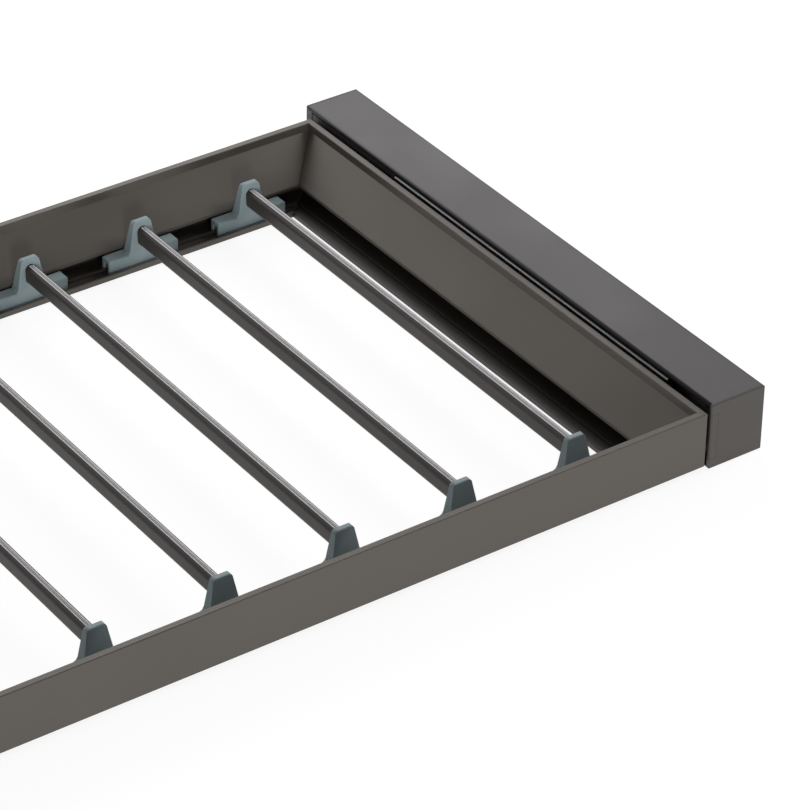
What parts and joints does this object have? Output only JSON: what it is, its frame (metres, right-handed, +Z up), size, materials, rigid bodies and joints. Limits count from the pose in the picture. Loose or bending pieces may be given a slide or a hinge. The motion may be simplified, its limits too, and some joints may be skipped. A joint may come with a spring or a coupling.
{
  "type": "trouser rack",
  "caption": "Pull-out trouser rack for a wardrobe: mitred aluminium tray frame with clip-on hanging bars, carried by telescopic ball slides in two side casings.",
  "frame": {"origin": "middle of the underside of the two casings", "axes": "+X across the wardrobe to the right casing, +Y from the front to the back, +Z up; the rack is pushed in"},
  "size_m": [0.864, 0.51, 0.0544],
  "materials": {
    "casing": "fine satin anodised, brown grey",
    "cap": "fine matt, brown grey",
    "damper": "moulded, black",
    "frame": "fine satin anodised, brown grey",
    "bar": "satin anodised, dark brown grey",
    "strip": "matt grip strip, light grey",
    "support": "satin moulded, blue grey",
    "slide_steel": "bright zinc plated",
    "cage": "plain steel strip",
    "ball": "polished steel",
    "bracket": "zinc cast",
    "screw": "zinc plated"
  },
  "bodies": {
    "casings": {"cabinet_screws": "screw", "casing_left": "casing", "front_cap_left": "cap", "rear_cap_left": "cap", "cabinet_member_left": "slide_steel", "damper_left": "damper", "casing_right": "casing", "front_cap_right": "cap", "rear_cap_right": "cap", "cabinet_member_right": "slide_steel", "damper_right": "damper"},
    "tray": {"front_rail": "frame", "back_rail": "frame", "left_rail": "frame", "right_rail": "frame", "corner_brackets": "bracket", "bracket_screws": "screw", "slide_screws": "screw", "drawer_member_left": "slide_steel", "drawer_member_right": "slide_steel", "slot_cover_left": "cap", "slot_cover_right": "cap"},
    "middle_left": {"middle_member_left": "slide_steel"},
    "outer_cage_left": {"outer_cage_left": "cage", "outer_balls_left": "ball"},
    "inner_cage_left": {"inner_cage_left": "cage", "inner_balls_left": "ball"},
    "middle_right": {"middle_member_right": "slide_steel"},
    "outer_cage_right": {"outer_cage_right": "cage", "outer_balls_right": "ball"},
    "inner_cage_right": {"inner_cage_right": "cage", "inner_balls_right": "ball"},
    "bar_1": {"bar_1": "bar", "grip_strip_1": "strip", "front_support_1": "support", "rear_support_1": "support"},
    "bar_2": {"bar_2": "bar", "grip_strip_2": "strip", "front_support_2": "support", "rear_support_2": "support"},
    "bar_3": {"bar_3": "bar", "grip_strip_3": "strip", "front_support_3": "support", "rear_support_3": "support"},
    "bar_4": {"bar_4": "bar", "grip_strip_4": "strip", "front_support_4": "support", "rear_support_4": "support"},
    "bar_5": {"bar_5": "bar", "grip_strip_5": "strip", "front_support_5": "support", "rear_support_5": "support"},
    "bar_6": {"bar_6": "bar", "grip_strip_6": "strip", "front_support_6": "support", "rear_support_6": "support"},
    "bar_7": {"bar_7": "bar", "grip_strip_7": "strip", "front_support_7": "support", "rear_support_7": "support"}
  },
  "joints": [
    {"name": "frame_pull", "type": "slide", "parent": "casings", "child": "tray", "axis": [0, -1, 0], "range_m": [0, 0.45]},
    {"name": "outer_cage_left_run", "type": "slide", "parent": "casings", "child": "outer_cage_left", "axis": [0, -1, 0], "range_m": [0, 0.1125]},
    {"name": "middle_left_run", "type": "slide", "parent": "casings", "child": "middle_left", "axis": [0, -1, 0], "range_m": [0, 0.225]},
    {"name": "inner_cage_left_run", "type": "slide", "parent": "casings", "child": "inner_cage_left", "axis": [0, -1, 0], "range_m": [0, 0.3375]},
    {"name": "outer_cage_right_run", "type": "slide", "parent": "casings", "child": "outer_cage_right", "axis": [0, -1, 0], "range_m": [0, 0.1125]},
    {"name": "middle_right_run", "type": "slide", "parent": "casings", "child": "middle_right", "axis": [0, -1, 0], "range_m": [0, 0.225]},
    {"name": "inner_cage_right_run", "type": "slide", "parent": "casings", "child": "inner_cage_right", "axis": [0, -1, 0], "range_m": [0, 0.3375]},
    {"name": "bar_1_shift", "type": "slide", "parent": "tray", "child": "bar_1", "axis": [1, 0, 0], "range_m": [-0.015, 0.015]},
    {"name": "bar_2_shift", "type": "slide", "parent": "tray", "child": "bar_2", "axis": [1, 0, 0], "range_m": [-0.015, 0.015]},
    {"name": "bar_3_shift", "type": "slide", "parent": "tray", "child": "bar_3", "axis": [1, 0, 0], "range_m": [-0.015, 0.015]},
    {"name": "bar_4_shift", "type": "slide", "parent": "tray", "child": "bar_4", "axis": [1, 0, 0], "range_m": [-0.015, 0.015]},
    {"name": "bar_5_shift", "type": "slide", "parent": "tray", "child": "bar_5", "axis": [1, 0, 0], "range_m": [-0.015, 0.015]},
    {"name": "bar_6_shift", "type": "slide", "parent": "tray", "child": "bar_6", "axis": [1, 0, 0], "range_m": [-0.015, 0.015]},
    {"name": "bar_7_shift", "type": "slide", "parent": "tray", "child": "bar_7", "axis": [1, 0, 0], "range_m": [-0.015, 0.015]}
  ],
  "couplings": [
    {"joint": "outer_cage_left_run", "follows": "frame_pull", "ratio": 0.25},
    {"joint": "middle_left_run", "follows": "frame_pull", "ratio": 0.5},
    {"joint": "inner_cage_left_run", "follows": "frame_pull", "ratio": 0.75},
    {"joint": "outer_cage_right_run", "follows": "frame_pull", "ratio": 0.25},
    {"joint": "middle_right_run", "follows": "frame_pull", "ratio": 0.5},
    {"joint": "inner_cage_right_run", "follows": "frame_pull", "ratio": 0.75}
  ]
}
